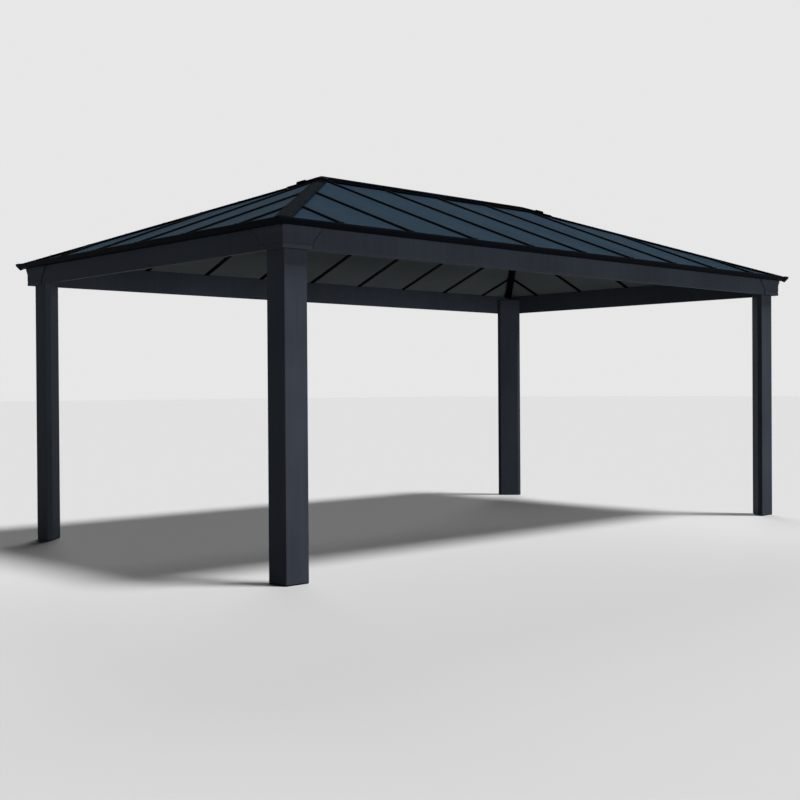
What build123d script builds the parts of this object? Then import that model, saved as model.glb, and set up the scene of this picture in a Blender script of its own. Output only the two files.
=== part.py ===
"""Garden gazebo: four three-sided posts, a beam frame and a hipped metal roof."""
import os
from math import cos, radians, sqrt, tan

from build123d import *

os.makedirs("parts", exist_ok=True)

# Plan and height of the whole frame, in millimetres. The long side runs along X,
# the front is at -Y, and the ground is at Z = 0. The roof is measured outside its gutters.
roof_length = 6054.0
roof_width = 3574.0
roof_pitch = 21.1
clear_height = 2088.0
post_inset = 112.0

# Posts: two wide outer faces, two narrow returns and a flat inner face
post_width = 180.0
post_return_width = 44.0
post_wall = 2.5
post_corner_radius = 4.0
post_rise = 150.0
post_cap_height = 6.0
post_cap_chamfer = 2.0

# Feet: a plate under each post and a spigot inside it
foot_plate_thickness = 8.0
foot_plate_inset = 1.5
spigot_height = 90.0
spigot_wall = 4.0
spigot_clearance = 0.5
anchor_hole_radius = 6.0
anchor_hole_inset = 36.0

# Beams stand outside the posts and meet at mitred corners
beam_thickness = 39.0
beam_face_height = 181.0
beam_wall = 2.5
beam_edge_radius = 6.0
mitre_gap = 0.2

# Corner covers wrap the mitres: a base band, a groove, a face and a coved top
cover_top_reach = 304.0
cover_foot_reach = 232.0
cover_base_height = 28.0
cover_groove_height = 7.0
cover_groove_depth = 3.0
cover_face_height = 44.0
cover_cove_height = 44.0
cover_thickness = 6.0
cover_cornice_thickness = 14.0
cover_bulge = 7.0
cover_side_taper = 35.0
cover_edge_radius = 2.5

# Gutters along the eaves: an upright lip over a face that leans in, with a cap on each corner
gutter_height = 36.0
gutter_lip_height = 13.0
gutter_lean = 16.0
gutter_lip_rise = 23.0
gutter_lip_depth = 9.0
gutter_wall = 2.5
gutter_edge_radius = 3.0
gutter_cap_reach = 64.0
gutter_cap_wall = 2.0
gutter_cap_drop = 15.0

# Roof sheets between the ribs
rib_spacing = 620.0
long_rib_count = 9
short_rib_count = 5
sheet_thickness = 2.0
sheet_eave_inset = 40.0
sheet_hip_gap = 6.0
rib_stem_width = 8.0
stem_clearance = 0.3

# Ribs above the sheets and rafters below them
rib_width = 36.0
rib_top_width = 26.0
rib_height = 14.0
rib_edge_radius = 3.0
rib_eave_inset = 36.0
rib_cap_cover = 34.0
rafter_width = 40.0
rafter_depth = 8.0
rafter_wall = 2.0
seat_clearance = 0.3

# Hip rafters and the ridge beam: hollow bars with a sunk flange between two rails below
hip_rafter_width = 70.0
hip_rafter_depth = 22.0
ridge_beam_width = 70.0
ridge_beam_depth = 60.0
bar_wall = 3.0
bar_rail_width = 14.0
bar_rail_height = 5.0

# Hip caps, and the ridge cap with its vents and ends
cap_thickness = 2.0
hip_cap_half_width = 57.0
hip_cap_eave_inset = 34.0
flashing_half_width = 105.0
ridge_cap_half_width = 66.0
ridge_cap_rise = 30.0
vent_baffle_inset = 14.0
vent_bar_spacing = 150.0
vent_bar_width = 8.0
vent_bar_inset = 2.0
ridge_connector_length = 300.0
ridge_end_length = 180.0
ridge_end_wing = 130.0
ridge_collar_length = 70.0
ridge_collar_rise = 9.0
ridge_strap_length = 80.0
ridge_strap_rise = 8.0
cap_joint_gap = 1.0

# Working values
slope = tan(radians(roof_pitch))
half_length = roof_length / 2
half_width = roof_width / 2
ridge_half = half_length - half_width
sheet_drop = sheet_thickness / cos(radians(roof_pitch))
beam_inset = post_inset - beam_thickness
beam_top_outer = clear_height + beam_face_height
eave_height = beam_top_outer - beam_inset * slope + sheet_drop
hip_slope = slope / sqrt(2)
ridge_height = eave_height + half_width * slope
overall_height = ridge_height + ridge_cap_rise
post_top = clear_height + post_rise
gutter_top = eave_height + gutter_lip_rise
gutter_floor = gutter_top - gutter_height
lip_foot = gutter_top - gutter_lip_height
gutter_cap_foot = gutter_floor - gutter_cap_drop
gutter_cap_lean = (lip_foot - gutter_cap_foot) * gutter_lean / (lip_foot - gutter_floor)


def roof_height(inset):
    """Height of the sheets' upper face at a plan distance in from the gutters' outer line."""
    return eave_height + inset * slope


def save(piece, name):
    """Label one finished piece and write it."""
    piece.label = name
    export_step(piece, f"parts/{name}.step")


# Each corner of the frame: the signs of its place and the turn of its post
corners = {
    "front_left": (-1, -1, 0),
    "front_right": (1, -1, 90),
    "back_right": (1, 1, 180),
    "back_left": (-1, 1, 270),
}

# Each side of the frame: its turn about Z, the reach to its eave, half its run and its ribs
sides = {
    "front": (0, half_width, half_length, long_rib_count),
    "right": (90, half_length, half_width, short_rib_count),
    "back": (180, half_width, half_length, long_rib_count),
    "left": (270, half_length, half_width, short_rib_count),
}


def corner_plane(name, height, inset=post_inset):
    """Level plane at a corner of the frame, with both axes pointing in along its sides."""
    sign_x, sign_y, turn = corners[name]
    place = (sign_x * (half_length - inset), sign_y * (half_width - inset), height)
    axis = Vector(1, 0, 0).rotate(Axis.Z, turn)
    return Plane(origin=place, x_dir=axis, z_dir=(0, 0, 1))


def post_outline(inset=0.0):
    """The five-sided outline of a post, set in from its faces."""
    with BuildSketch() as outline:
        with BuildLine():
            Polyline(
                (0, 0),
                (post_width, 0),
                (post_width, post_return_width),
                (post_return_width, post_width),
                (0, post_width),
                close=True,
            )
        make_face()
        fillet(outline.vertices(), post_corner_radius)
        if inset:
            offset(amount=-inset, mode=Mode.REPLACE)
    return outline.sketch


for name in corners:
    with BuildPart() as post:
        with BuildSketch(corner_plane(name, foot_plate_thickness)):
            add(post_outline())
            add(post_outline(post_wall), mode=Mode.SUBTRACT)
        extrude(amount=post_top - post_cap_height - foot_plate_thickness)
        with BuildSketch(corner_plane(name, post_top - post_cap_height)):
            add(post_outline())
        extrude(amount=post_cap_height)
        chamfer(post.faces().sort_by(Axis.Z)[-1].edges(), post_cap_chamfer)
    save(post.part, f"post_{name}")

with BuildPart() as post_feet:
    spigot_inset = post_wall + spigot_clearance
    far_hole = post_width - anchor_hole_inset - post_return_width / 2
    anchor_places = [
        (anchor_hole_inset, anchor_hole_inset),
        (far_hole, anchor_hole_inset),
        (anchor_hole_inset, far_hole),
    ]
    for name in corners:
        with BuildSketch(corner_plane(name, 0)):
            add(post_outline(foot_plate_inset))
            with Locations(*anchor_places):
                Circle(anchor_hole_radius, mode=Mode.SUBTRACT)
        extrude(amount=foot_plate_thickness)
        with BuildSketch(corner_plane(name, foot_plate_thickness)):
            add(post_outline(spigot_inset))
            add(post_outline(spigot_inset + spigot_wall), mode=Mode.SUBTRACT)
        extrude(amount=spigot_height)
save(post_feet.part, "post_feet")


def side_plane(side, along=0.0):
    """Upright plane across a side's run: its x axis points in from the eave, its y axis up."""
    turn, reach, _, _ = sides[side]
    outward = Vector(0, -1, 0).rotate(Axis.Z, turn)
    run = Vector(1, 0, 0).rotate(Axis.Z, turn)
    return Plane(origin=outward * reach + run * along, x_dir=-outward, z_dir=run)


def plan_outline(side, inset_near, inset_far, trim=0.0):
    """Plan of one side between two insets from its eave, cut to 45 degrees at its ends."""
    turn, reach, run, _ = sides[side]
    outward = Vector(0, -1, 0).rotate(Axis.Z, turn)
    along = Vector(1, 0, 0).rotate(Axis.Z, turn)
    near = run - inset_near - trim
    far = run - inset_far - trim
    with BuildSketch(Plane(origin=outward * reach, x_dir=along, z_dir=(0, 0, 1))) as outline:
        with BuildLine():
            Polyline((-near, inset_near), (near, inset_near), (far, inset_far), (-far, inset_far),
                     close=True)
        make_face()
    return outline.sketch


def beam_outline(inset=0.0):
    """Beam section: rounded lower edges, upright faces and a top that follows the roof."""
    top_inner = beam_top_outer + beam_thickness * slope
    with BuildSketch() as outline:
        with BuildLine():
            Polyline(
                (beam_inset, clear_height),
                (beam_inset + beam_thickness, clear_height),
                (beam_inset + beam_thickness, top_inner),
                (beam_inset, beam_top_outer),
                close=True,
            )
        make_face()
        fillet(outline.vertices().group_by(Axis.Y)[0], beam_edge_radius)
        if inset:
            offset(amount=-inset, mode=Mode.REPLACE)
    return outline.sketch


def gutter_outline():
    """Gutter section: back against the beam, floor, leaning face and a lip turned inwards."""
    with BuildSketch() as outline:
        with BuildLine():
            Polyline(
                (0, gutter_top),
                (0, lip_foot),
                (gutter_lean, gutter_floor),
                (beam_inset, gutter_floor),
                (beam_inset, gutter_top),
                close=True,
            )
        make_face()
        fillet(outline.vertices().group_by(Axis.X)[0], gutter_edge_radius)
        offset(amount=-gutter_wall, mode=Mode.SUBTRACT)
        with Locations((gutter_lip_depth, gutter_top)):
            Rectangle(beam_inset - gutter_lip_depth - gutter_wall, 2 * gutter_wall,
                      align=(Align.MIN, Align.CENTER), mode=Mode.SUBTRACT)
    return outline.sketch


for side, (turn, reach, run, rib_count) in sides.items():
    with BuildPart() as beam:
        with BuildSketch(side_plane(side, -run)):
            add(beam_outline())
            add(beam_outline(beam_wall), mode=Mode.SUBTRACT)
        extrude(amount=2 * run)
        extrude(plan_outline(side, beam_inset, beam_inset + beam_thickness, mitre_gap),
                amount=overall_height, mode=Mode.INTERSECT)
    save(beam.part, f"beam_{side}")

    with BuildPart() as gutter:
        with BuildSketch(side_plane(side, -run)):
            add(gutter_outline())
        extrude(amount=2 * run)
        extrude(plan_outline(side, 0, beam_inset, mitre_gap),
                amount=overall_height, mode=Mode.INTERSECT)
    save(gutter.part, f"gutter_{side}")


def wing_section_plane(name):
    """Upright plane across a wing at a corner: x measured in from the gutters' outer line."""
    level = corner_plane(name, 0, 0)
    return Plane(origin=level.origin, x_dir=level.y_dir, z_dir=level.x_dir)


def wing_face_plane(name, inset):
    """Upright plane along a wing at a corner, facing out: x measured along the wing."""
    level = corner_plane(name, 0, inset)
    return Plane(origin=level.origin, x_dir=level.x_dir, z_dir=-level.y_dir)


def mitre_plane(name):
    """Upright plane through a corner's mitre, facing the first of its two wings."""
    level = corner_plane(name, 0, 0)
    return Plane(origin=level.origin, x_dir=(0, 0, 1), z_dir=level.x_dir - level.y_dir)


def gutter_cap_outline():
    """Section of a gutter cap: a strip folded over the lip and down past the leaning face."""
    near = -seat_clearance
    far = near - gutter_cap_wall
    with BuildSketch() as outline:
        with BuildLine():
            Polyline(
                (gutter_lip_depth, gutter_top - near),
                (near, gutter_top - near),
                (near, lip_foot),
                (near + gutter_cap_lean, gutter_cap_foot),
                (far + gutter_cap_lean, gutter_cap_foot),
                (far, lip_foot),
                (far, gutter_top - far),
                (gutter_lip_depth, gutter_top - far),
                close=True,
            )
        make_face()
    return outline.sketch


def gutter_cap_face():
    """Face of one wing of a gutter cap: its lower edge rises away from the corner."""
    with BuildSketch() as outline:
        with BuildLine():
            Polyline(
                (-gutter_cap_reach, gutter_cap_foot),
                (gutter_cap_lean, gutter_cap_foot),
                (gutter_cap_reach, gutter_floor),
                (gutter_cap_reach, overall_height),
                (-gutter_cap_reach, overall_height),
                close=True,
            )
        make_face()
    return outline.sketch


def cover_outline():
    """Section of a corner cover: base band, groove, flat face and a cove up to the cornice."""
    back = beam_inset - seat_clearance
    face = back - cover_thickness
    cornice = back - cover_cornice_thickness
    groove = face + cover_groove_depth
    groove_foot = clear_height + cover_base_height
    face_foot = groove_foot + cover_groove_height
    cove_foot = face_foot + cover_face_height
    cornice_foot = cove_foot + cover_cove_height
    top = gutter_floor - seat_clearance
    with BuildSketch() as outline:
        with BuildLine():
            Polyline(
                (cornice, cornice_foot),
                (cornice, top),
                (back, top),
                (back, clear_height),
                (face, clear_height),
                (face, groove_foot),
                (groove, groove_foot),
                (groove, face_foot),
                (face, face_foot),
                (face, cove_foot),
            )
            TangentArc((face, cove_foot), (cornice, cornice_foot), tangent=(0, 1))
        make_face()
        foot_corner = outline.vertices().group_by(Axis.Y)[0].sort_by(Axis.X)[0]
        fillet(foot_corner, cover_edge_radius)
    return outline.sketch


def cover_face():
    """Face of one wing of a corner cover: its side runs up and flares out to the cornice."""
    groove_foot = clear_height + cover_base_height
    cornice_foot = groove_foot + cover_groove_height + cover_face_height + cover_cove_height
    with BuildSketch() as outline:
        with BuildLine():
            SagittaArc((cover_foot_reach, groove_foot), (cover_top_reach, cornice_foot), cover_bulge)
            Polyline(
                (cover_top_reach, cornice_foot),
                (cover_top_reach, overall_height),
                (-cover_top_reach, overall_height),
                (-cover_top_reach, 0),
                (cover_foot_reach, 0),
                (cover_foot_reach, groove_foot),
            )
        make_face()
    return outline.sketch


gutter_cap_list = []
for name in corners:
    with BuildPart() as gutter_cap:
        with BuildSketch(wing_section_plane(name)):
            add(gutter_cap_outline())
        extrude(amount=gutter_cap_reach, both=True)
        with BuildSketch(wing_face_plane(name, 0)):
            add(gutter_cap_face())
        extrude(amount=beam_inset, both=True, mode=Mode.INTERSECT)
        split(bisect_by=mitre_plane(name), keep=Keep.TOP)
        mirror(about=mitre_plane(name))
    gutter_cap_list.append(gutter_cap.part)

    with BuildPart() as cover:
        with BuildSketch(wing_section_plane(name)):
            add(cover_outline())
        extrude(amount=cover_top_reach + beam_inset)
        with BuildSketch(wing_face_plane(name, beam_inset)):
            add(cover_face())
        extrude(amount=beam_inset, taper=cover_side_taper, mode=Mode.INTERSECT)
        split(bisect_by=mitre_plane(name), keep=Keep.TOP)
        mirror(about=mitre_plane(name))
    save(cover.part, f"corner_cover_{name}")

with BuildPart() as gutter_caps:
    add(gutter_cap_list)
save(gutter_caps.part, "gutter_caps")


def roof_face(side, eave_cut, ridge_cut, hip_cut):
    """Plan of one roof face, cut back from its eave, from the ridge and along its hips."""
    turn, reach, run, _ = sides[side]
    outward = Vector(0, -1, 0).rotate(Axis.Z, turn)
    along = Vector(1, 0, 0).rotate(Axis.Z, turn)
    half_base = run - hip_cut
    with BuildSketch(Plane(origin=outward * reach, x_dir=along, z_dir=(0, 0, 1))) as outline:
        with BuildLine():
            Polyline((-half_base, 0), (half_base, 0), (0, half_base), close=True)
        make_face()
        with Locations((0, eave_cut)):
            Rectangle(2 * run, half_width - ridge_cut - eave_cut,
                      align=(Align.CENTER, Align.MIN), mode=Mode.INTERSECT)
    return outline.sketch


def across_plane(side):
    """Upright plane along a side's eave: its x axis follows the eave, its y axis is up."""
    turn, reach, _, _ = sides[side]
    outward = Vector(0, -1, 0).rotate(Axis.Z, turn)
    along = Vector(1, 0, 0).rotate(Axis.Z, turn)
    return Plane(origin=outward * reach + Vector(0, 0, eave_height), x_dir=along, z_dir=outward)


def upslope(side):
    """Direction up a side's roof face, one unit in plan."""
    turn = sides[side][0]
    return Vector(0, 1, 0).rotate(Axis.Z, turn) + Vector(0, 0, slope)


def sheet_outline(reach):
    """Section of the roof sheets, measured in from the eave and up from the ground."""
    with BuildSketch() as outline:
        with BuildLine():
            Polyline(
                (0, eave_height - sheet_drop),
                (reach, eave_height + reach * slope - sheet_drop),
                (reach, eave_height + reach * slope),
                (0, eave_height),
                close=True,
            )
        make_face()
    return outline.sketch


def rib_outline():
    """Rib section: a shallow cap with rounded shoulders and a stem between two sheets."""
    stem = rib_stem_width / 2 - stem_clearance
    with BuildSketch() as outline:
        with BuildLine():
            Polyline(
                (-stem, -sheet_drop),
                (stem, -sheet_drop),
                (stem, seat_clearance),
                (rib_width / 2, seat_clearance),
                (rib_top_width / 2, rib_height),
                (-rib_top_width / 2, rib_height),
                (-rib_width / 2, seat_clearance),
                (-stem, seat_clearance),
                close=True,
            )
        make_face()
        fillet(outline.vertices().group_by(Axis.Y)[-1], rib_edge_radius)
    return outline.sketch


def rafter_outline():
    """Rafter section: a box under the seam of two sheets."""
    with BuildSketch() as outline:
        with Locations((0, -sheet_drop)):
            Rectangle(rafter_width, rafter_depth, align=(Align.CENTER, Align.MAX))
        with Locations((0, -sheet_drop - rafter_wall)):
            Rectangle(rafter_width - 2 * rafter_wall, rafter_depth - 2 * rafter_wall,
                      align=(Align.CENTER, Align.MAX), mode=Mode.SUBTRACT)
    return outline.sketch


for side, (turn, reach, run, rib_count) in sides.items():
    rise_length = reach * sqrt(1 + slope**2)

    with BuildPart() as sheets:
        with BuildSketch(side_plane(side, -run)):
            add(sheet_outline(half_width))
        extrude(amount=2 * run)
        extrude(roof_face(side, sheet_eave_inset, sheet_hip_gap, sheet_hip_gap),
                amount=overall_height, mode=Mode.INTERSECT)
        with BuildSketch(across_plane(side)):
            with GridLocations(rib_spacing, 1, rib_count, 1):
                Rectangle(rib_stem_width, 4 * rib_height)
        extrude(amount=rise_length, dir=upslope(side), mode=Mode.SUBTRACT)
    save(sheets.part, f"roof_sheets_{side}")

    with BuildPart() as ribs:
        with BuildSketch(across_plane(side)):
            with GridLocations(rib_spacing, 1, rib_count, 1):
                add(rib_outline())
        extrude(amount=rise_length, dir=upslope(side))
        extrude(roof_face(side, rib_eave_inset, rib_cap_cover, rib_cap_cover),
                amount=overall_height, mode=Mode.INTERSECT)
    save(ribs.part, f"ribs_{side}")

    with BuildPart() as rafters:
        with BuildSketch(across_plane(side)):
            with GridLocations(rib_spacing, 1, rib_count, 1):
                add(rafter_outline())
        extrude(amount=rise_length, dir=upslope(side))
        extrude(roof_face(side, post_inset, ridge_beam_width / 2, hip_rafter_width / sqrt(2)),
                amount=overall_height, mode=Mode.INTERSECT)
    save(rafters.part, f"rafters_{side}")


def fold_outline(half_span, seat, fall, thickness=cap_thickness):
    """Section of a folded plate that lies over a hip or ridge, with its fold at the origin."""
    with BuildSketch() as outline:
        with BuildLine():
            Polyline(
                (-half_span, seat - half_span * fall),
                (0, seat),
                (half_span, seat - half_span * fall),
                (half_span, seat - half_span * fall + thickness),
                (0, seat + thickness),
                (-half_span, seat - half_span * fall + thickness),
                close=True,
            )
        make_face()
    return outline.sketch


def bar_outline(width, depth, fall, inset=0.0):
    """Section of a bar under a hip or ridge: a roof-shaped top and two rails below."""
    half_span = width / 2
    half_flange = half_span - bar_rail_width
    foot = -sheet_drop - depth
    with BuildSketch() as outline:
        with BuildLine():
            Polyline(
                (-half_span, -sheet_drop - half_span * fall),
                (0, -sheet_drop),
                (half_span, -sheet_drop - half_span * fall),
                (half_span, foot),
                (half_flange, foot),
                (half_flange, foot + bar_rail_height),
                (-half_flange, foot + bar_rail_height),
                (-half_flange, foot),
                (-half_span, foot),
                close=True,
            )
        make_face()
        if inset:
            offset(amount=-inset, mode=Mode.REPLACE)
    return outline.sketch


def hip_plane(name, from_ridge):
    """Upright plane across a hip at a plan distance from the ridge's end, facing down the hip."""
    sign_x, sign_y, _ = corners[name]
    down = Vector(sign_x, sign_y, 0).normalized()
    inset = half_width - from_ridge / sqrt(2)
    place = Vector(sign_x * (half_length - inset), sign_y * (half_width - inset), roof_height(inset))
    return Plane(origin=place, x_dir=Vector(0, 0, 1).cross(down), z_dir=down)


def down_hip(name):
    """Direction down a hip, one unit in plan."""
    sign_x, sign_y, _ = corners[name]
    return Vector(sign_x, sign_y, 0).normalized() - Vector(0, 0, hip_slope)


hip_seat = rib_height + seat_clearance
hip_stretch = sqrt(1 + hip_slope**2)
hip_length = half_width * sqrt(2) * hip_stretch
body_thickness = ridge_cap_rise - hip_seat
collar_start = ridge_end_wing
strap_start = collar_start + ridge_collar_length
hip_cap_start = strap_start + ridge_strap_length + cap_joint_gap

for name, (sign_x, sign_y, turn) in corners.items():
    with BuildPart() as hip_rafter:
        with BuildSketch(hip_plane(name, 0)):
            add(bar_outline(hip_rafter_width, hip_rafter_depth, hip_slope))
            add(bar_outline(hip_rafter_width, hip_rafter_depth, hip_slope, bar_wall),
                mode=Mode.SUBTRACT)
        extrude(amount=hip_length, dir=down_hip(name))
        with BuildSketch(Plane.XY.offset(post_top)):
            with Locations((0, sign_y * ridge_beam_width / 2)):
                Rectangle(roof_length - 2 * post_inset,
                          half_width - post_inset - ridge_beam_width / 2,
                          align=(Align.CENTER, Align.MIN if sign_y > 0 else Align.MAX))
        extrude(amount=overall_height, mode=Mode.INTERSECT)
    save(hip_rafter.part, f"hip_rafter_{name}")

    with BuildPart() as hip_cap:
        with BuildSketch(hip_plane(name, hip_cap_start)):
            add(fold_outline(hip_cap_half_width, hip_seat, hip_slope))
        extrude(amount=hip_length, dir=down_hip(name))
        with BuildSketch(Plane.XY):
            Rectangle(roof_length - 2 * hip_cap_eave_inset, roof_width - 2 * hip_cap_eave_inset)
        extrude(amount=overall_height, mode=Mode.INTERSECT)
    save(hip_cap.part, f"hip_cap_{name}")


def ridge_plane(start, facing):
    """Upright plane across the ridge at a place along it, facing along X one way or the other."""
    return Plane(origin=(start, 0, ridge_height), x_dir=(0, facing, 0), z_dir=(facing, 0, 0))


with BuildPart() as ridge_beam:
    with BuildSketch(ridge_plane(-ridge_half, 1)):
        add(bar_outline(ridge_beam_width, ridge_beam_depth, slope))
        add(bar_outline(ridge_beam_width, ridge_beam_depth, slope, bar_wall), mode=Mode.SUBTRACT)
    extrude(amount=2 * ridge_half)
save(ridge_beam.part, "ridge_beam")


def closed_cap_outline():
    """Section of the closed ridge cap: a flashing with a raised body over its fold."""
    with BuildSketch() as outline:
        add(fold_outline(flashing_half_width, hip_seat, slope))
        add(fold_outline(ridge_cap_half_width, hip_seat, slope, body_thickness))
    return outline.sketch


def vent_outline():
    """Section of the vented ridge cap: flashing, two upright baffles and a lifted plate."""
    baffle_place = ridge_cap_half_width - vent_baffle_inset
    baffle_height = body_thickness - cap_thickness
    baffle_foot = hip_seat + cap_thickness / 2 - baffle_place * slope
    with BuildSketch() as outline:
        add(fold_outline(flashing_half_width, hip_seat, slope))
        add(fold_outline(ridge_cap_half_width, ridge_cap_rise - cap_thickness, slope))
        with Locations((-baffle_place, baffle_foot), (baffle_place, baffle_foot)):
            Rectangle(cap_thickness, baffle_height, align=(Align.CENTER, Align.MIN))
    return outline.sketch


for hand, facing in {"left": -1, "right": 1}.items():
    vent_start = ridge_connector_length / 2
    vent_length = ridge_half - ridge_end_length - vent_start - cap_joint_gap
    bar_count = round(vent_length / vent_bar_spacing) + 1
    bar_pitch = (vent_length - vent_bar_width) / (bar_count - 1)
    with BuildPart() as ridge_vent:
        with BuildSketch(ridge_plane(facing * vent_start, facing)):
            add(vent_outline())
        extrude(amount=vent_length)
        bar_places = [facing * (vent_start + number * bar_pitch) for number in range(bar_count)]
        with BuildSketch(*[ridge_plane(place, facing) for place in bar_places]):
            add(fold_outline(ridge_cap_half_width - vent_bar_inset, hip_seat + cap_thickness / 2,
                             slope, body_thickness - cap_thickness))
        extrude(amount=vent_bar_width)
    save(ridge_vent.part, f"ridge_vent_{hand}")

    with BuildPart() as ridge_end:
        with BuildSketch(ridge_plane(facing * ridge_half, -facing)):
            add(closed_cap_outline())
        extrude(amount=ridge_end_length)
        for name in (f"front_{hand}", f"back_{hand}"):
            lengths = {
                0: (collar_start, body_thickness),
                collar_start: (ridge_collar_length, body_thickness + ridge_collar_rise),
                strap_start: (ridge_strap_length, ridge_strap_rise),
            }
            for start, (length, thickness) in lengths.items():
                with BuildSketch(hip_plane(name, start)):
                    add(fold_outline(hip_cap_half_width, hip_seat, hip_slope, thickness))
                extrude(amount=length * hip_stretch, dir=down_hip(name))
    save(ridge_end.part, f"ridge_end_{hand}")

with BuildPart() as ridge_connector:
    with BuildSketch(ridge_plane(-ridge_connector_length / 2 + cap_joint_gap, 1)):
        add(closed_cap_outline())
    extrude(amount=ridge_connector_length - 2 * cap_joint_gap)
save(ridge_connector.part, "ridge_connector")
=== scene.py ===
# %% [markdown]
# # Dressing a hipped metal gazebo
#
# The gazebo is four folded corner posts, a ring of deep beams, and a hipped roof of flat metal
# sheets held down by black ribs. Its solids come ready-made from the construction model, so this
# lesson leaves every shape alone and works on what the construction model can't say: paint, grain,
# wear, screws, seals and light. Everything is in metres: X runs along the ridge, Y across it, and Z
# is up from the ground.

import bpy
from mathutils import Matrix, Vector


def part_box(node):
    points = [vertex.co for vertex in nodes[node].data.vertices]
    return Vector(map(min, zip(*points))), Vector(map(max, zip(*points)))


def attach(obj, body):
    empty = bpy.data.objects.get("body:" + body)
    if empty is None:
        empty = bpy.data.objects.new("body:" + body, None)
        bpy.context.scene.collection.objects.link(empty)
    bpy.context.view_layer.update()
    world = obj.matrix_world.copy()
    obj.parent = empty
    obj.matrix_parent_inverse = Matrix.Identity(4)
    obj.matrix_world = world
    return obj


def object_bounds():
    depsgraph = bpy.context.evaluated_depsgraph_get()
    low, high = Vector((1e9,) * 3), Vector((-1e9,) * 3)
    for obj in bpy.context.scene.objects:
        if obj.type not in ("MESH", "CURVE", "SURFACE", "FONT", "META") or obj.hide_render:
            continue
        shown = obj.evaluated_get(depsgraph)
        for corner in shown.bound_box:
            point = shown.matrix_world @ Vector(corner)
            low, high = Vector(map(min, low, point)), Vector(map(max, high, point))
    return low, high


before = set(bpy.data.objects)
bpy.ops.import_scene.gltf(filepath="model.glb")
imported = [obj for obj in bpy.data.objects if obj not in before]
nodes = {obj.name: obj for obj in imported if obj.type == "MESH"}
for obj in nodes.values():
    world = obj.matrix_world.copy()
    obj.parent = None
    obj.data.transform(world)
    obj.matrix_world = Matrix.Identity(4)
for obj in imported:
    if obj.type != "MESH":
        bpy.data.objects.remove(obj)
cad_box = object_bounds()
print("nodes:", len(nodes), "box:", [round(v, 4) for corner in cad_box for v in corner])

# %% Libraries
import math

import bpy
import numpy as np
from mathutils import Matrix, Vector
from mathutils.bvhtree import BVHTree

# %% [markdown]
# # The camera
#
# The picture was taken from low down outside the front left corner, almost level. A camera is
# placed by a matrix whose columns are its right, up and backward directions, which says exactly
# where it looks and how far it is rolled. A lens is a focal length over a sensor width, so a
# measured focal length in pixels converts straight to millimetres.

# %% The camera's place and direction
PICTURE_WIDTH = 800
FOCAL_PIXELS = 1178.09
SENSOR_WIDTH = 36.0
CAMERA_PLACE = Vector((-7.358, -7.461, 1.2083))
CAMERA_YAW = math.radians(46.908)
CAMERA_PITCH = math.radians(-0.464)
CAMERA_ROLL = math.radians(-0.364)
CLIP_END = 500.0


def camera_matrix(place, yaw, pitch, roll):
    """World matrix of a camera at place, looking yaw round from +X to +Y, pitch up, and turned by roll."""
    ahead = Vector((math.cos(yaw) * math.cos(pitch), math.sin(yaw) * math.cos(pitch), math.sin(pitch)))
    level_right = Vector((math.sin(yaw), -math.cos(yaw), 0.0))
    level_up = level_right.cross(ahead)
    right = math.cos(roll) * level_right + math.sin(roll) * level_up
    up = math.cos(roll) * level_up - math.sin(roll) * level_right
    return Matrix.Translation(place) @ Matrix((right, up, -ahead)).transposed().to_4x4()


camera_data = bpy.data.cameras.new("camera")
camera_data.sensor_width = SENSOR_WIDTH
camera_data.lens = FOCAL_PIXELS * SENSOR_WIDTH / PICTURE_WIDTH
camera_data.clip_end = CLIP_END
camera = bpy.data.objects.new("camera", camera_data)
camera.matrix_world = camera_matrix(CAMERA_PLACE, CAMERA_YAW, CAMERA_PITCH, CAMERA_ROLL)
bpy.context.scene.collection.objects.link(camera)
bpy.context.scene.camera = camera
bpy.context.scene.view_settings.view_transform = "Standard"
print("lens:", round(camera_data.lens, 2), "mm")

# %% [markdown]
# # Materials as arithmetic
#
# A procedural material is a sum: a base tone, plus slow clouds, plus fine grain, plus wear where
# edges rub. Written as a node graph by hand that sum is long, so one small class wraps a socket and
# lets Python operators add the Math nodes. A second class is the node tree under construction, and
# its method node() makes any other node: its kind, its settings, its inputs, and which output is
# wanted. With both, a finish reads like the formula that it is.


# %% A wire that does sums
class Wire:
    """A value on its way through a material's nodes. Arithmetic on it adds Math nodes."""

    def __init__(self, finish, socket):
        self.finish = finish
        self.socket = socket

    def math(self, operation, *values):
        return self.finish.node("ShaderNodeMath", {"operation": operation}, dict(enumerate(values)))

    def __add__(self, other):
        return self.math("ADD", self, other)

    __radd__ = __add__

    def __sub__(self, other):
        return self.math("SUBTRACT", self, other)

    def __rsub__(self, other):
        return self.math("SUBTRACT", other, self)

    def __mul__(self, other):
        return self.math("MULTIPLY", self, other)

    __rmul__ = __mul__

    def floor(self):
        return self.math("FLOOR", self)

    def ramp(self, low, high):
        """0 below low, 1 above high, and a smooth step between."""
        inputs = {"Value": self, "From Min": low, "From Max": high}
        return self.finish.node("ShaderNodeMapRange", {"interpolation_type": "SMOOTHSTEP"}, inputs)


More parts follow.
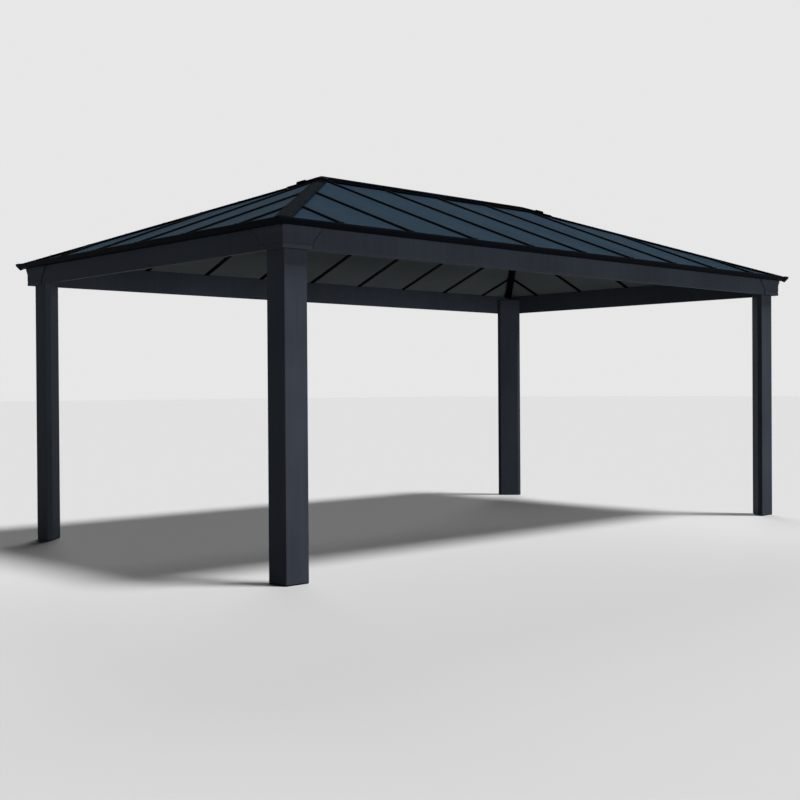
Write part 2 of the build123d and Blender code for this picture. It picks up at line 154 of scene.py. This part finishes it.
# %% A finish under construction
class Finish:
    """The nodes of a material or the world. node() adds any kind, and the rest name common ones."""

    def __init__(self, block):
        self.block = block
        block.use_nodes = True
        self.tree = block.node_tree
        self.tree.nodes.clear()

    def node(self, kind, settings=None, inputs=None, output=0):
        """Adds a node, applies its settings, fills or links its sockets, and returns an output."""
        made = self.tree.nodes.new(kind)
        for setting, value in (settings or {}).items():
            setattr(made, setting, value)
        for name, value in (inputs or {}).items():
            if isinstance(value, Wire):
                self.tree.links.new(value.socket, made.inputs[name])
            else:
                made.inputs[name].default_value = value
        return Wire(self, made.outputs[output]) if made.outputs else None

    def place(self):
        """The point being shaded, in metres from the object's origin."""
        return self.node("ShaderNodeTexCoord", output="Object")

    def stretched(self, x, y, z):
        """That place multiplied by three factors, for a pattern that is longer one way than another."""
        inputs = {0: self.place(), 1: (x, y, z)}
        return self.node("ShaderNodeVectorMath", {"operation": "MULTIPLY"}, inputs)

    def part(self, vector, axis):
        """One number of a vector: axis 0, 1 or 2."""
        return self.node("ShaderNodeSeparateXYZ", None, {0: vector}, output=axis)

    def noise(self, scale, detail=2.0, place=None):
        """Cloudy noise from 0 to 1, with about scale lumps to the metre."""
        inputs = {"Vector": place or self.place(), "Scale": scale, "Detail": detail}
        return self.node("ShaderNodeTexNoise", None, inputs)

    def blend(self, share, first, second):
        """A colour from first to second as share goes from 0 to 1. Sockets 6, 7 and 2 hold colours."""
        inputs = {0: share, 6: first, 7: second}
        return self.node("ShaderNodeMix", {"data_type": "RGBA"}, inputs, output=2)

    def rounded(self, radius):
        """The surface normal with every sharp edge rounded to a radius."""
        return self.node("ShaderNodeBevel", {"samples": 4}, {"Radius": radius})

    def edges(self, radius):
        """0 on a flat face, rising to 1 at an edge, over about a radius."""
        flat = self.node("ShaderNodeNewGeometry", output="True Normal")
        pair = {0: self.rounded(radius), 1: flat}
        likeness = self.node("ShaderNodeVectorMath", {"operation": "DOT_PRODUCT"}, pair, output=1)
        return (1 - likeness).ramp(0.01, 0.2)

    def bump(self, height, strength, distance, normal):
        """A shading normal that follows a height, which is distance metres from 0 to 1."""
        inputs = {"Height": height, "Strength": strength, "Distance": distance, "Normal": normal}
        return self.node("ShaderNodeBump", None, inputs)

    def close(self, colour, roughness, normal, specular):
        """Joins colour, roughness and normal in one Principled surface, and gives back the material."""
        inputs = {"Base Color": colour, "Roughness": roughness, "Normal": normal}
        inputs["Specular IOR Level"] = specular
        surface = self.node("ShaderNodeBsdfPrincipled", None, inputs)
        self.node("ShaderNodeOutputMaterial", None, {"Surface": surface})
        return self.block


def tone(red, green, blue):
    """A colour written as 0 to 255 screen values, turned to the linear values that Blender mixes."""
    share = np.array([red, green, blue]) / 255
    linear = np.where(share <= 0.04045, share / 12.92, ((share + 0.055) / 1.055) ** 2.4)
    return (*linear.tolist(), 1.0)


def dress(material, *names):
    """Gives a material to every slot of the named construction nodes."""
    for name in names:
        held = nodes[name].data.materials
        held.clear()
        held.append(material)
    print(material.name, "on", len(names), "nodes")


# %% [markdown]
# # Powder coat on the frame
#
# Posts, beams and corner covers are folded aluminium with an anthracite powder coat. Powder melts
# into a skin with a faint orange-peel ripple and a satin sheen, it is a shade thinner on sharp
# folds, and hands and ladders polish those folds first. So the formula is: tone plus slow clouds,
# plus a fine fleck, plus a lighter rub on the edges. The Bevel node gives a rounded normal, and
# where it differs from the flat one there is an edge, whatever the shape. The studio is pale on
# every side and would show in a glossy coat as a grey veil, so the specular level is kept low and
# dark paint stays dark.

# %% Anthracite powder coat
SIDES = ("front", "right", "back", "left")
CORNERS = ("front_left", "front_right", "back_right", "back_left")


def powder_coat(name, dark, light, rub, edge_radius, specular, roughness=0.48):
    """dark to light by clouds and runs, then rub on the edges. Roughness falls where it is rubbed."""
    coat = Finish(bpy.data.materials.new(name))
    clouds = coat.noise(1.6, 4.0).ramp(0.3, 0.7)
    runs = coat.noise(3.0, 3.0, coat.stretched(9.0, 9.0, 0.6)).ramp(0.35, 0.75)
    fleck = coat.noise(1100.0, 1.0).ramp(0.45, 0.75)
    worn = coat.edges(edge_radius) * coat.noise(28.0, 5.0).ramp(0.35, 0.7)
    colour = coat.blend(clouds * 0.7 + runs * 0.3, dark, light)
    colour = coat.blend(fleck * 0.12 + worn * 0.3, colour, rub)
    peel = coat.noise(330.0, 2.0) + fleck * 0.2
    normal = coat.bump(peel, 0.25, 0.00025, coat.rounded(edge_radius))
    dullness = roughness + clouds * 0.08 + runs * 0.05 - worn * 0.12
    return coat.close(colour, dullness, normal, specular)


frame_tones = tone(59, 64, 73), tone(69, 75, 85), tone(94, 101, 112)
frame_coat = powder_coat("anthracite_coat", *frame_tones, 0.004, specular=0.015, roughness=0.52)
dress(frame_coat, *[f"post_{corner}" for corner in CORNERS])
dress(frame_coat, *[f"beam_{side}" for side in SIDES])
dress(frame_coat, *[f"corner_cover_{corner}" for corner in CORNERS])

# %% [markdown]
# # The same coat in black
#
# Gutters, ribs, rafters and foot plates are powder coated too, only darker, so the same function
# serves with other tones. A thin piece has tighter folds, and the edge radius follows. Near-black
# pieces in a row tell each other apart by small steps of tone: the gutter is a shade lighter than
# the ribs above it.

# %% Black coats
trim_tones = tone(12, 14, 18), tone(19, 21, 26), tone(40, 44, 51)
trim_coat = powder_coat("black_trim_coat", *trim_tones, edge_radius=0.0025, specular=0.01)
dress(trim_coat, "gutter_caps", *[f"gutter_{side}" for side in SIDES])

rib_tones = tone(4, 5, 7), tone(8, 9, 12), tone(24, 27, 32)
rib_coat = powder_coat("black_rib_coat", *rib_tones, edge_radius=0.002, specular=0.004)
dress(rib_coat, *[f"ribs_{side}" for side in SIDES])

rafter_tones = tone(4, 5, 6), tone(8, 9, 10), tone(24, 26, 28)
rafter_coat = powder_coat("black_rafter_coat", *rafter_tones, edge_radius=0.002, specular=0.004)
dress(rafter_coat, "ridge_beam", *[f"rafters_{side}" for side in SIDES])
dress(rafter_coat, *[f"hip_rafter_{corner}" for corner in CORNERS])

foot_tones = tone(11, 12, 14), tone(18, 19, 22), tone(60, 60, 60)
foot_coat = powder_coat("foot_plate_coat", *foot_tones, edge_radius=0.003, specular=0.05)
dress(foot_coat, "post_feet")

# %% [markdown]
# # Textured caps
#
# The folded caps along the hips and the ridge wear a coarser coat, with a grain like fine sandpaper
# that shows even from across the garden. Two noises of different size are added for the grain. It
# drives the colour and the bump together, because on a real grain the low spots are also the dark
# ones. The ridge looks darker than the hips and gets darker tones.


# %% Sandy cap coat
def sandy_coat(name, dark, light, rub):
    """dark to light by a coarse and a fine grain, with the rub colour on the folds."""
    coat = Finish(bpy.data.materials.new(name))
    coarse = coat.noise(85.0, 3.0).ramp(0.3, 0.7)
    fine = coat.noise(420.0, 2.0).ramp(0.3, 0.7)
    grain = coarse * 0.55 + fine * 0.45
    worn = coat.edges(0.002) * coat.noise(40.0, 4.0).ramp(0.4, 0.7)
    colour = coat.blend(grain, dark, light)
    colour = coat.blend(coat.noise(2.2, 3.0).ramp(0.35, 0.8) * 0.25, colour, dark)
    colour = coat.blend(worn * 0.5, colour, rub)
    normal = coat.bump(grain, 0.7, 0.0012, coat.rounded(0.0015))
    return coat.close(colour, 0.66 + grain * 0.18 - worn * 0.15, normal, specular=0.002)


RIDGE_CAPS = (
    "ridge_end_left",
    "ridge_vent_left",
    "ridge_connector",
    "ridge_vent_right",
    "ridge_end_right",
)
cap_coat = sandy_coat("sandy_cap_coat", tone(11, 13, 16), tone(25, 29, 34), tone(46, 51, 57))
dress(cap_coat, *[f"hip_cap_{corner}" for corner in CORNERS])
ridge_coat = sandy_coat("sandy_ridge_coat", tone(5, 6, 8), tone(15, 17, 21), tone(34, 37, 43))
dress(ridge_coat, *RIDGE_CAPS)

# %% [markdown]
# # Roof sheets
#
# The sheets are rolled steel with a blue-grey metallic coat. Rolling leaves hair-fine lines that
# run down the slope, each sheet leans a touch differently from its neighbour, and thin sheet is
# never quite flat. The lines are noise squeezed hard across the slope, and the slow swell is a wide
# bump. How each leaning sheet catches the light is painted in as shade: a random number looked up
# by the number of the bay makes each sheet a touch lighter or darker. Underneath, the sheets show
# their plain grey backing coat, which a mask on the downward-facing side picks out.

# %% Metallic sheet coat
RIB_SPACING = 0.62
X, Y, Z = 0, 1, 2


def sheet_coat(name, across):
    """Lines down the slope, a painted shade for each bay's lean, and grey backing underneath."""
    coat = Finish(bpy.data.materials.new(name))
    squeeze = [0.9, 0.9, 0.9]
    squeeze[across] = 75.0
    lines = coat.noise(5.0, 4.0, coat.stretched(*squeeze)).ramp(0.25, 0.75)
    squeeze[across] = 9.0
    streaks = coat.noise(3.0, 3.0, coat.stretched(*squeeze)).ramp(0.3, 0.7)
    # painted shade: each bay a touch lighter or darker, for how its leaning sheet catches the light
    bay = (coat.part(coat.place(), across) * (1 / RIB_SPACING) + 0.5).floor()
    painted_lean_shade = coat.node("ShaderNodeTexWhiteNoise", {"noise_dimensions": "1D"}, {"W": bay})
    clouds = coat.noise(1.1, 3.0).ramp(0.3, 0.7)
    under = coat.part(coat.node("ShaderNodeNewGeometry", output="True Normal"), Z)
    below = 1 - under.ramp(-0.3, 0.1)
    mottle = lines * 0.3 + streaks * 0.3 + painted_lean_shade * 0.25 + clouds * 0.15
    colour = coat.blend(mottle, tone(25, 39, 51), tone(39, 57, 71))
    backing = coat.blend(lines * 0.3 + clouds * 0.7, tone(112, 120, 123), tone(127, 134, 136))
    colour = coat.blend(below, colour, backing)
    worn = coat.edges(0.002) * coat.noise(30.0, 4.0).ramp(0.4, 0.7)
    colour = coat.blend(worn * 0.4, colour, tone(120, 128, 134))
    swell = coat.noise(1.3, 2.0)
    normal = coat.bump(swell, 0.5, 0.02, coat.rounded(0.001))
    normal = coat.bump(lines, 0.35, 0.0003, normal)
    roughness = 0.54 + lines * 0.05 + streaks * 0.05 + clouds * 0.04 + below * 0.1
    return coat.close(colour, roughness, normal, specular=0.003)


dress(sheet_coat("sheet_coat_long", X), "roof_sheets_front", "roof_sheets_back")
dress(sheet_coat("sheet_coat_short", Y), "roof_sheets_left", "roof_sheets_right")

# %% [markdown]
# # New pieces
#
# A piece that the construction model lacks is a list of points and a list of faces, put straight
# into a mesh. A tube, whether it is a bead, a bar or a screw, is always the same list of faces:
# quads between neighbouring rings of points and one flat face at each end. So the two helpers here
# serve every new piece below.


# %% Rings to a piece
def tube_faces(rings, points, start=0):
    """Faces of a closed tube: quads between neighbouring rings, and one flat face at each end."""
    ring, point = np.meshgrid(np.arange(rings - 1), np.arange(points), indexing="ij")
    here = ring * points + point
    beside = ring * points + (point + 1) % points
    quads = np.stack([here, beside, beside + points, here + points], -1).reshape(-1, 4) + start
    last = start + (rings - 1) * points
    ends = [list(range(start + points - 1, start - 1, -1)), list(range(last, last + points))]
    return quads.tolist() + ends


def piece_from(name, tubes, material):
    """A new piece made of tubes, an array (tubes, rings, points, 3), that rides on the gazebo."""
    count, rings, points, _ = tubes.shape
    faces = [face for i in range(count) for face in tube_faces(rings, points, i * rings * points)]
    mesh = bpy.data.meshes.new(name)
    mesh.from_pydata(tubes.reshape(-1, 3).tolist(), [], faces)
    mesh.materials.append(material)
    piece = bpy.data.objects.new(name, mesh)
    bpy.context.scene.collection.objects.link(piece)
    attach(piece, "root")
    print(name, "tubes:", count, "faces:", len(faces))
    return piece


# %% [markdown]
# Seals and painted shadow lines along the corner covers
#
# Each corner cover laps over two beams, and its curved sides are closed against them with a thin
# dark bead. The bead is partly a real seal and partly a painted shadow: its dark tone draws the
# shadow line that the cover's edge leaves beside every post. A bead is a small round profile carried
# along a path. This path lies in the beam's face, so the profile's two directions are simple: one
# is straight out of the beam, the other square to the path within the face. One bead is worked out
# once and laid in eight places.

# %% The side of a cover
BEAM_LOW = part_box("beam_front")[0].z
BEAM_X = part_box("beam_right")[1].x
BEAM_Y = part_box("beam_back")[1].y
COVER_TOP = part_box("corner_cover_front_left")[1].z
COVER_FOOT_REACH = 0.232
COVER_TOP_REACH = 0.304
COVER_ARC_FOOT = BEAM_LOW + 0.028
COVER_ARC_TOP = BEAM_LOW + 0.123
COVER_ARC_BULGE = 0.007
BEAD_RADIUS = 0.003
BEAD_POINTS = 8
BEAM_ROUNDING = 0.006
ARC_STEPS = 10


def cover_side():
    """Path of a cover's side in the beam's face, rows of (along, height): up, an arc, and up again.
    The arc is a + t * (b - a) + 4 * t * (1 - t) * bulge * n, with n square to the chord b - a."""
    share = np.linspace(0.0, 1.0, ARC_STEPS)[:, None]
    foot = np.array([COVER_FOOT_REACH, COVER_ARC_FOOT])
    top = np.array([COVER_TOP_REACH, COVER_ARC_TOP])
    chord = (top - foot) / np.linalg.norm(top - foot)
    square = np.array([-chord[1], chord[0]])
    arc = foot + share * (top - foot) + 4 * share * (1 - share) * COVER_ARC_BULGE * square
    return np.array([[COVER_FOOT_REACH, BEAM_LOW + BEAM_ROUNDING], *arc, [COVER_TOP_REACH, COVER_TOP]])


# %% A bead carried along it
def bead(path, radius, points):
    """Rings (along, out, height) of a round bead: path(t) + radius * (cos(a) * side(t), sin(a)) at
    angle a, where side(t) is square to the path within its plane and sin(a) stands out of it."""
    direction = np.gradient(path, axis=0)
    direction /= np.linalg.norm(direction, axis=1, keepdims=True)
    angle = np.linspace(0.0, 2 * math.pi, points, endpoint=False)
    beside = radius * np.cos(angle)
    along = path[:, :1] + direction[:, 1:] * beside
    height = path[:, 1:] - direction[:, :1] * beside
    out = np.broadcast_to(radius * np.sin(angle), along.shape)
    return np.stack([along, out, height], -1)


def laid_at_corners(rings):
    """Copies of rings (along, out, height) on both beams of every corner. Along runs inwards.
    A mirrored copy would be inside out, so the points of its rings run the other way."""
    along, out, height = rings[..., 0], rings[..., 1], rings[..., 2]
    copies = []
    for sign_x in (-1, 1):
        for sign_y in (-1, 1):
            front = np.stack([sign_x * (BEAM_X - along), sign_y * (BEAM_Y + out), height], -1)
            side = np.stack([sign_x * (BEAM_X + out), sign_y * (BEAM_Y - along), height], -1)
            copies += [front, side[:, ::-1]] if sign_x != sign_y else [front[:, ::-1], side]
    return np.array(copies)


# dark tones: partly the seal's own colour, partly a painted shadow line along each cover's edge
seal_and_shadow_tones = tone(33, 37, 43), tone(40, 44, 51), tone(51, 55, 62)
seal_and_shadow_coat = powder_coat("seal_rubber_and_painted_shadow", *seal_and_shadow_tones, edge_radius=0.001, specular=0.01, roughness=0.6)
seal_and_shadow_path = cover_side() + (BEAD_RADIUS / 2, 0.0)
seal_and_shadow_tubes = laid_at_corners(bead(seal_and_shadow_path, BEAD_RADIUS, BEAD_POINTS))
piece_from("cover_seals_and_painted_shadow", seal_and_shadow_tubes, seal_and_shadow_coat)

# %% [markdown]
# # Seats for small fittings
#
# A screw has to sit on the metal that it holds, square to it, seen from any side. Rather than work
# out each plane, a ray is dropped on the construction node, which gives both the point and the
# direction of the surface there. A frame of three directions built on that normal then turns every
# screw at once.


# %% Drop a ray on a node
def skin(name):
    """A search tree over one construction node's triangles."""
    mesh = nodes[name].data
    points = [vertex.co for vertex in mesh.vertices]
    triangles = [tuple(face.vertices) for face in mesh.polygons]
    return BVHTree.FromPolygons(points, triangles)


def seats_on(name, places):
    """Points and outward normals where rays dropped straight down from places first meet a node."""
    tree = skin(name)
    down = Vector((0.0, 0.0, -1.0))
    hits = [tree.ray_cast(Vector(place), down) for place in places]
    met = [(point, normal) for point, normal, _, _ in hits if point is not None]
    print(name, "seats:", len(met), "of", len(hits))
    return met


# %% [markdown]
# # Screws
#
# The caps are held by small hexagon-headed screws with a pressed washer, coated like the sheet that
# they hold. A turned shape is a profile carried round an axis. A hexagon is the same thing with a
# radius that depends on the angle: the distance to a flat at angle a from its middle is the half
# width divided by cos(a). Twelve points round, six on corners and six on flats, draw it exactly,
# with few faces for a thing this often repeated.

# %% A screw head as rings
LEVEL_DIRECTION = (0.31, 0.95, 0.0)
SCREW_POINTS = 12
WASHER_RADIUS = 0.0075
WASHER_DEPTH = 0.001
WASHER_TOP = 0.0006
HEAD_HALF_WIDTH = 0.0042
HEAD_HEIGHT = 0.0055
HEAD_FILLET = 1.12
HEAD_CHAMFER = 0.8


def screw_rings():
    """Rings of one screw head, shape (rings, points, 3), standing on Z = 0. The washer's rings have an
    even radius. Those of the hexagon have r(a) = half width / cos(((a + 30) mod 60) - 30) degrees."""
    angle = np.radians(30.0) * np.arange(SCREW_POINTS)
    sixth = np.radians(60.0)
    hexagon = HEAD_HALF_WIDTH / np.cos((angle + sixth / 2) % sixth - sixth / 2)
    washer = np.full(SCREW_POINTS, WASHER_RADIUS)
    rings = [
        (washer, -WASHER_DEPTH),
        (washer, WASHER_TOP),
        (hexagon * HEAD_FILLET, 0.0013),
        (hexagon, 0.0014),
        (hexagon, HEAD_HEIGHT - 0.0007),
        (hexagon * HEAD_CHAMFER, HEAD_HEIGHT),
    ]
    radius = np.array([ring for ring, _ in rings])
    height = np.array([level for _, level in rings])[:, None] + np.zeros(SCREW_POINTS)
    return np.stack([radius * np.cos(angle), radius * np.sin(angle), height], -1)


def screws(name, seats, material):
    """One piece of many screws. A point p of the head goes to
    seat + p.x * side + p.y * (normal x side) + p.z * normal."""
    rings = screw_rings()
    centre = np.array([point for point, _ in seats])
    normal = np.array([direction for _, direction in seats])
    side = np.cross(normal, LEVEL_DIRECTION)
    side /= np.linalg.norm(side, axis=1, keepdims=True)
    turn = np.stack([side, np.cross(normal, side), normal], 1)
    placed = centre[:, None, :] + rings.reshape(-1, 3) @ turn
    return piece_from(name, placed.reshape(-1, *rings.shape), material)


# %% [markdown]
# # Screws along the hip caps
#
# A hip cap is folded over the hip and screwed down near both of its edges, at an even pitch. In plan
# a hip runs at 45 degrees, so the places are points on two lines beside it, and the ray finds the
# height. The first and last screws keep clear of the cap's ends.

# %% Screws beside every hip
EAVE_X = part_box("gutter_right")[1].x
EAVE_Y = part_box("gutter_back")[1].y
ABOVE = cad_box[1].z + 0.5
HIP_SCREW_OFFSET = 0.043
HIP_SCREW_PITCH = 0.31
HIP_SCREW_START = 0.36
HIP_SCREW_COUNT = 7
CORNER_SIGNS = ((-1, -1), (1, -1), (1, 1), (-1, 1))


def hip_places(sign_x, sign_y):
    """Plan points beside a hip: ridge end + t * (sx, sy) / sqrt 2, moved sideways by the offset.
    The slopes are equally steep, so the ridge ends as far from the short eave as from the long one."""
    run = HIP_SCREW_START + HIP_SCREW_PITCH * np.arange(HIP_SCREW_COUNT)
    ridge_half = EAVE_X - EAVE_Y
    down = np.array([sign_x, sign_y]) / math.sqrt(2)
    beside = np.array([-down[1], down[0]])
    middle = np.array([sign_x * ridge_half, 0.0]) + run[:, None] * down
    both = np.concatenate([middle + HIP_SCREW_OFFSET * beside, middle - HIP_SCREW_OFFSET * beside])
    return [(x, y, ABOVE) for x, y in both]


cap_seats = []
for corner, signs in zip(CORNERS, CORNER_SIGNS):
    cap_seats += seats_on(f"hip_cap_{corner}", hip_places(*signs))
screws("hip_cap_screws", cap_seats, cap_coat)

# %% [markdown]
# # Screws along the ridge and the ribs
#
# The ridge's flashing is held along both rims, and each rib is screwed down through its crown just
# above the gutter. The heads stand in straight rows with an even pitch, so a row is one arange. A
# ray that misses the metal, beyond the end of a ridge piece, simply gives no seat.

# %% Screws along the ridge
RIDGE_RIM = 0.09
RIDGE_PITCH = 0.21
RIDGE_COUNT = 12
ridge_row = RIDGE_PITCH * (np.arange(RIDGE_COUNT) - (RIDGE_COUNT - 1) / 2)
ridge_places = [(x, y, ABOVE) for x in ridge_row for y in (-RIDGE_RIM, RIDGE_RIM)]
ridge_seats = []
for name in RIDGE_CAPS:
    ridge_seats += seats_on(name, ridge_places)
screws("ridge_screws", ridge_seats, ridge_coat)

# %% Screws at the feet of the ribs
RIB_SCREW_INSET = 0.06
foot_x = EAVE_X - RIB_SCREW_INSET
foot_y = EAVE_Y - RIB_SCREW_INSET
long_ribs = RIB_SPACING * np.arange(-4, 5)
short_ribs = RIB_SPACING * np.arange(-2, 3)
rib_seats = seats_on("ribs_front", [(x, -foot_y, ABOVE) for x in long_ribs])
rib_seats += seats_on("ribs_left", [(-foot_x, y, ABOVE) for y in short_ribs])
rib_seats += seats_on("ribs_back", [(x, foot_y, ABOVE) for x in long_ribs])
rib_seats += seats_on("ribs_right", [(foot_x, y, ABOVE) for y in short_ribs])
screws("rib_screws", rib_seats, rib_coat)

# %% [markdown]
# # Floor and world
#
# The gazebo stands on a plain pale floor before a pale backdrop. The floor looks pale to the camera
# and in reflections, but it gives back less light than it seems to, as grey paving does, so that
# the underside of the roof stays in shade. The world does the same: camera, glossy and transmission
# rays meet a pale backdrop, and the diffuse rays that light the paint meet next to nothing, which
# leaves the shaping to the lamps. A Light Path node tells the kinds of ray apart.

# %% Floor
FLOOR_REACH = 150.0
floor_mesh = bpy.data.meshes.new("floor")
floor_corners = [(FLOOR_REACH * x, FLOOR_REACH * y, 0.0) for x, y in CORNER_SIGNS]
floor_mesh.from_pydata(floor_corners, [], [(0, 1, 2, 3)])
floor = bpy.data.objects.new("floor", floor_mesh)
bpy.context.scene.collection.objects.link(floor)

FLOOR_LIT = tone(106, 106, 106)
FLOOR_SEEN = tone(208, 208, 208)
paving = Finish(bpy.data.materials.new("pale_floor"))
camera_ray = paving.node("ShaderNodeLightPath", output="Is Camera Ray")
glossy_ray = paving.node("ShaderNodeLightPath", output="Is Glossy Ray")
paving_colour = paving.blend(camera_ray + glossy_ray, FLOOR_LIT, FLOOR_SEEN)
plain = paving.node("ShaderNodeNewGeometry", output="Normal")
floor_mesh.materials.append(paving.close(paving_colour, 0.9, plain, specular=0.0))
print("floor:", 2 * FLOOR_REACH, "m square")

# %% World
WORLD_SEEN = 0.8
WORLD_LIGHT = 0.01
world = bpy.data.worlds.new("studio")
bpy.context.scene.world = world
sky = Finish(world)
shown_rays = ("Is Camera Ray", "Is Glossy Ray", "Is Transmission Ray")
shown = sum(sky.node("ShaderNodeLightPath", output=kind) for kind in shown_rays)
strength = WORLD_LIGHT + shown * (WORLD_SEEN - WORLD_LIGHT)
white = (1.0, 1.0, 1.0, 1.0)
backdrop = sky.node("ShaderNodeBackground", None, {"Color": white, "Strength": strength})
sky.node("ShaderNodeOutputWorld", None, {"Surface": backdrop})
print("world: seen at", WORLD_SEEN, "and lights at", WORLD_LIGHT)

# %% [markdown]
# # Lamps
#
# Four lamps light it. The key is a high sun from the front right, small enough that the eaves shade
# the beams. Two far soft boxes at knee height, a strong one in front and a weak one at the left,
# give each post its two tones and reach in under the roof. A broad, weaker sun from behind keeps
# the far sides legible. A fill lamp would show as a glint in the sheets, so it is hidden from
# glossy rays. The soft boxes would also burn a hot spot in the floor, so light linking leaves the
# floor out of what they reach.

# %% Ways to stand a lamp
all_but_floor = bpy.data.collections.new("all_but_floor")
all_but_floor.objects.link(floor)
all_but_floor.collection_objects[0].light_linking.link_state = "EXCLUDE"


def stand(lamp, place, aim, fill):
    """Puts a lamp at place, facing aim. A fill lamp leaves no glint."""
    shown = bpy.data.objects.new(lamp.name, lamp)
    facing = (Vector(aim) - Vector(place)).to_track_quat("-Z", "Y")
    shown.matrix_world = Matrix.Translation(place) @ facing.to_matrix().to_4x4()
    shown.visible_glossy = not fill
    bpy.context.scene.collection.objects.link(shown)
    print(lamp.name, lamp.type, round(lamp.energy, 2))
    return shown


def sun(name, place, strength, degrees, fill):
    """Parallel light from the direction of place, out of a disc that is so many degrees wide."""
    lamp = bpy.data.lights.new(name, "SUN")
    lamp.energy = strength
    lamp.angle = math.radians(degrees)
    return stand(lamp, place, (0.0, 0.0, 0.0), fill)


def soft_box(name, place, aim, watts, width):
    """A square fill lamp that lights everything but the floor."""
    lamp = bpy.data.lights.new(name, "AREA")
    lamp.energy = watts
    lamp.size = width
    shown = stand(lamp, place, aim, True)
    shown.light_linking.receiver_collection = all_but_floor
    return shown


# %% The four lamps
sun("key_lamp", place=(1.9, -2.6, 7.0), strength=1.03 * math.pi, degrees=14.0, fill=False)
sun("back_lamp", place=(5.0, 5.5, 2.6), strength=0.75 * math.pi, degrees=40.0, fill=True)
soft_box("front_lamp", place=(1.0, -18.0, 0.8), aim=(0.5, 0.0, 1.8), watts=1080.0, width=2.5)
soft_box("left_lamp", place=(-18.0, -1.0, 0.8), aim=(0.0, 0.0, 1.8), watts=200.0, width=2.5)
